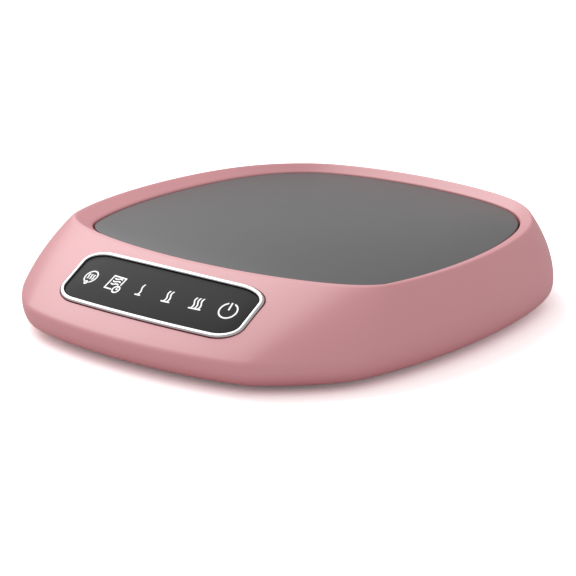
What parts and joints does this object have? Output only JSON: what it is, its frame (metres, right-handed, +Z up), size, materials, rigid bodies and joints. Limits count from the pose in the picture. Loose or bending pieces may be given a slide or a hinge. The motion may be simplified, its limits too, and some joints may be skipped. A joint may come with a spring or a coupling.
{
  "type": "electric mug warmer",
  "caption": "Low rounded casing with a sunk glass hot plate that sinks under a mug, a sloping touch panel and a barrel power inlet at the rear.",
  "frame": {"origin": "on the surface that the feet stand on, under the middle of the casing's box", "axes": "+X to the right seen from the control panel, +Y from the control panel to the power inlet at the rear, +Z up"},
  "size_m": [0.136, 0.15, 0.0253],
  "materials": {
    "housing_plastic": "satin pink moulded plastic",
    "base_plastic": "fine spark-textured pink plastic",
    "foot_rubber": "matt rubber",
    "gasket_rubber": "matt silicone rubber",
    "plate_glass": "grey-backed satin tempered glass",
    "spreader_aluminium": "milled",
    "heater_film": "amber polyimide film over foil",
    "insulation_felt": "needled ceramic felt",
    "carrier_plastic": "glass-filled black plastic",
    "black_plastic": "black moulded plastic",
    "red_plastic": "moulded",
    "zinc_steel": "zinc plated",
    "spring_steel": "bright drawn",
    "contact_brass": "bright",
    "plated_metal": "tin plated",
    "bezel_chrome": "polished plated trim",
    "panel_gloss": "gloss black window",
    "icon_white": "white ink",
    "board_green": "solder mask on laminate",
    "led_resin": "clear resin",
    "chip_resin": "black moulded resin",
    "connector_nylon": "natural nylon",
    "red_wire": "insulation",
    "white_wire": "silicone insulation",
    "black_wire": "insulation",
    "blue_wire": "insulation"
  },
  "bodies": {
    "casing": {"upper_housing": "housing_plastic", "base_cover": "base_plastic", "rubber_feet": "foot_rubber", "base_screws": "zinc_steel", "plate_springs": "spring_steel", "switch_case": "black_plastic", "switch_hinge_pin": "spring_steel", "switch_terminals": "contact_brass", "switch_screws": "zinc_steel", "panel_bezel": "bezel_chrome", "touch_panel": "panel_gloss", "key_icons": "icon_white", "light_shield": "black_plastic", "control_board": "board_green", "key_springs": "contact_brass", "indicator_leds": "led_resin", "touch_chip": "chip_resin", "control_board_screws": "zinc_steel", "main_board": "board_green", "main_board_screws": "zinc_steel", "microcontroller": "chip_resin", "power_transistor": "chip_resin", "filter_capacitors": "plated_metal", "buzzer": "black_plastic", "wire_connectors": "connector_nylon", "panel_ribbon": "connector_nylon", "dc_socket": "black_plastic", "dc_socket_pin": "plated_metal", "socket_nut": "plated_metal", "socket_lugs": "plated_metal", "dc_leads": "red_wire", "heater_leads": "white_wire", "sensor_leads": "black_wire", "switch_leads": "blue_wire"},
    "hot_plate": {"plate_glass": "plate_glass", "plate_gasket": "gasket_rubber", "heat_spreader": "spreader_aluminium", "heating_element": "heater_film", "insulation_pad": "insulation_felt", "plate_carrier": "carrier_plastic", "spreader_screws": "zinc_steel", "thermistor": "black_plastic", "thermal_fuse": "plated_metal", "fuse_clamp": "spring_steel", "clamp_screws": "zinc_steel"},
    "switch_lever": {"switch_lever": "spring_steel"},
    "switch_plunger": {"switch_plunger": "red_plastic"}
  },
  "joints": [
    {"name": "plate_travel", "type": "slide", "parent": "casing", "child": "hot_plate", "axis": [0, 0, -1], "range_m": [0, 0.0008], "stiffness_N_per_m": 2800, "springref_m": -0.00085, "deforming": ["plate_springs", "heater_leads", "sensor_leads"]},
    {"name": "lever_pivot", "type": "hinge", "parent": "casing", "child": "switch_lever", "pos_m": [0.013, 0.028, 0.01125], "axis": [0, 1, 0], "range_deg": [0, 4.1]},
    {"name": "plunger_travel", "type": "slide", "parent": "casing", "child": "switch_plunger", "axis": [0, 0, -1], "range_m": [0, 0.00035]}
  ],
  "couplings": [
    {"joint": "lever_pivot", "follows": "plate_travel", "rad_per_m": 86.96},
    {"joint": "plunger_travel", "follows": "plate_travel", "ratio": 0.39}
  ]
}
